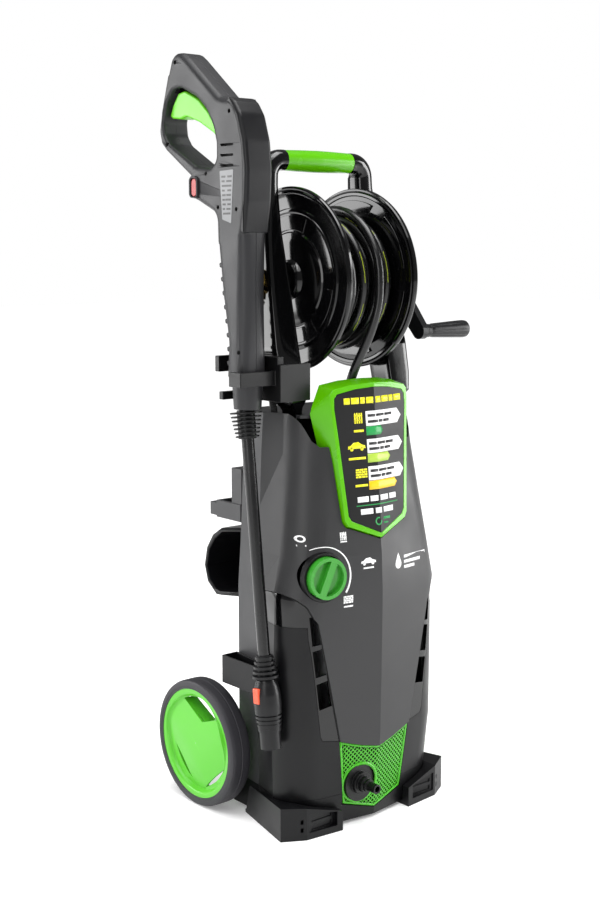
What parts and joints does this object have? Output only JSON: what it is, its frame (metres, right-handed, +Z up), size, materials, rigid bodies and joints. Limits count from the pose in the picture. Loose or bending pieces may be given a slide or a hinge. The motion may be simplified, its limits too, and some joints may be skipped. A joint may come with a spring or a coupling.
{
  "type": "pressure washer",
  "caption": "Upright wheeled electric pressure washer with a hose reel, carry handle, front cover with selector knob, and a spray gun with lance held on its side.",
  "frame": {"origin": "on the floor plane, in the middle plane, directly below the hose reel's axis", "axes": "+X to the right as seen from the front (the crank's side), +Y to the back, +Z up; the front cover faces -Y"},
  "size_m": [0.3975, 0.311, 1.001],
  "materials": {
    "cover_grey": "fine satin texture",
    "housing_grey": "fine texture",
    "body_dark": "fine texture",
    "base_dark": "moulded texture",
    "gloss_black": "polished",
    "black_plastic": "fine texture",
    "green_gloss": "satin gloss",
    "green_grille": "satin",
    "green_wheel": "satin gloss",
    "green_trigger": "satin gloss",
    "green_knob": "satin gloss",
    "label": "printed film",
    "gun_grey": "fine satin texture",
    "grip_grey": "satin",
    "red": "satin",
    "orange": "satin",
    "tyre": "moulded",
    "hose": "smooth jacket",
    "lance_steel": "black coated",
    "steel": "turned",
    "alloy": "die-cast",
    "brass": "turned",
    "nylon": "moulded"
  },
  "bodies": {
    "chassis": {"foot_base": "base_dark", "base_tray": "base_dark", "lower_body": "body_dark", "rear_housing": "housing_grey", "front_cover": "cover_grey", "vent_panel_left": "gloss_black", "vent_panel_right": "gloss_black", "inlet_grille": "green_grille", "water_inlet": "black_plastic", "label_pod": "green_gloss", "label_plate": "label", "post_left": "gloss_black", "post_right": "gloss_black", "handle_core": "steel", "handle_grip": "green_gloss", "gun_holder": "cover_grey", "cable_hook_upper": "housing_grey", "cable_hook_lower": "body_dark", "side_bin": "body_dark", "cable_gland": "black_plastic", "axle": "steel", "axle_clips": "steel", "knob_bezel": "black_plastic", "motor_housing": "alloy", "capacitor": "nylon", "switch_box": "black_plastic", "pump_body": "alloy", "pump_pistons": "steel", "feed_hose": "hose", "reel_bushes": "nylon", "reel_swivel": "brass", "hose_guide": "black_plastic", "body_screws": "steel", "hose_tail": "hose"},
    "wheel_left": {"tyre_left": "tyre", "wheel_hub_left": "green_wheel"},
    "wheel_right": {"tyre_right": "tyre", "wheel_hub_right": "green_wheel"},
    "reel": {"reel_drum": "gloss_black", "reel_flange_left": "gloss_black", "reel_flange_right": "gloss_black", "crank_arm": "black_plastic", "hose_coil": "hose"},
    "crank_knob": {"crank_grip": "grip_grey"},
    "selector": {"selector_knob": "green_knob"},
    "motor": {"motor_rotor": "steel", "motor_fan": "black_plastic", "wobble_plate": "steel"},
    "gun": {"gun_shell_left": "gun_grey", "gun_shell_right": "gun_grey", "gun_valve": "brass", "lance_socket": "gun_grey", "lance_bellows": "black_plastic"},
    "trigger": {"gun_trigger": "green_trigger"},
    "lock": {"hose_lock": "red"},
    "lance": {"lance_tube": "lance_steel", "nozzle_body": "grip_grey"},
    "nozzle_slide": {"nozzle_button": "orange"},
    "nozzle_ring": {"nozzle_head": "grip_grey"}
  },
  "joints": [
    {"name": "wheel_left_spin", "type": "hinge", "parent": "chassis", "child": "wheel_left", "pos_m": [-0.142, 0.083, 0.087], "axis": [1, 0, 0], "continuous": true},
    {"name": "wheel_right_spin", "type": "hinge", "parent": "chassis", "child": "wheel_right", "pos_m": [0.142, 0.083, 0.087], "axis": [1, 0, 0], "continuous": true},
    {"name": "reel_spin", "type": "hinge", "parent": "chassis", "child": "reel", "pos_m": [0, 0, 0.715], "axis": [1, 0, 0], "continuous": true},
    {"name": "crank_grip_spin", "type": "hinge", "parent": "reel", "child": "crank_knob", "pos_m": [0.174, -0.057, 0.644], "axis": [1, 0, 0], "continuous": true},
    {"name": "knob_turn", "type": "hinge", "parent": "chassis", "child": "selector", "pos_m": [-0.088, -0.10631, 0.343], "axis": [0.1435, 0.9897, 0], "range_deg": [0, 150]},
    {"name": "motor_spin", "type": "hinge", "parent": "chassis", "child": "motor", "pos_m": [0, -0.028, 0.27], "axis": [0, 0, 1], "continuous": true},
    {"name": "gun_lift", "type": "slide", "parent": "chassis", "child": "gun", "axis": [0, 0.1132, 0.9936], "range_m": [0, 0.09]},
    {"name": "trigger_squeeze", "type": "hinge", "parent": "gun", "child": "trigger", "pos_m": [-0.15, 0.002, 0.892], "axis": [1, 0, 0], "range_deg": [0, 6], "stiffness_Nm_per_rad": 2, "springref_deg": -20.05},
    {"name": "lock_press", "type": "slide", "parent": "gun", "child": "lock", "axis": [1, 0, 0], "range_m": [0, 0.002], "stiffness_N_per_m": 600, "springref_m": -0.001},
    {"name": "lance_twist", "type": "hinge", "parent": "gun", "child": "lance", "pos_m": [-0.15, -0.0256, 0.546], "axis": [0, 0.1132, 0.9936], "range_deg": [0, 90]},
    {"name": "nozzle_button_press", "type": "slide", "parent": "lance", "child": "nozzle_slide", "axis": [1, 0, 0], "range_m": [0, 0.0025], "stiffness_N_per_m": 600, "springref_m": -0.001},
    {"name": "nozzle_turn", "type": "hinge", "parent": "lance", "child": "nozzle_ring", "pos_m": [-0.15, -0.07, 0.155], "axis": [0, 0.1132, 0.9936], "range_deg": [0, 180]}
  ]
}
